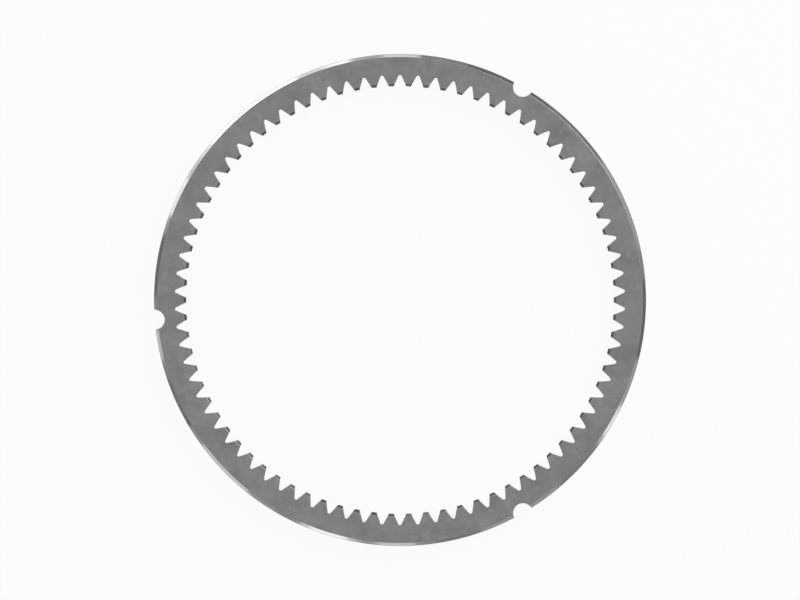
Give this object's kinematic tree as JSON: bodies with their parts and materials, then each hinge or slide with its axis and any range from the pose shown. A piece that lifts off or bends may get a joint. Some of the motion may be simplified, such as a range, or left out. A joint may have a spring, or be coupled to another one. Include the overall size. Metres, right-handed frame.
{
  "type": "ring gear",
  "caption": "Flat steel ring with straight teeth on its inside, chamfered edges and half-round pin notches in its rim.",
  "frame": {"origin": "on the ring's axis, in the plane of its lower face", "axes": "+Z along the ring's axis, out of its upper face; +X through the middle of tooth number 0; +Y a quarter turn on, so that the notches stand at 60, 184.6 and 300 degrees from +X"},
  "size_m": [0.175, 0.175, 0.012],
  "materials": {
    "ring_steel": "satin machined and ground, bare metal"
  },
  "bodies": {
    "root": {"ring_gear": "ring_steel"}
  },
  "joints": []
}
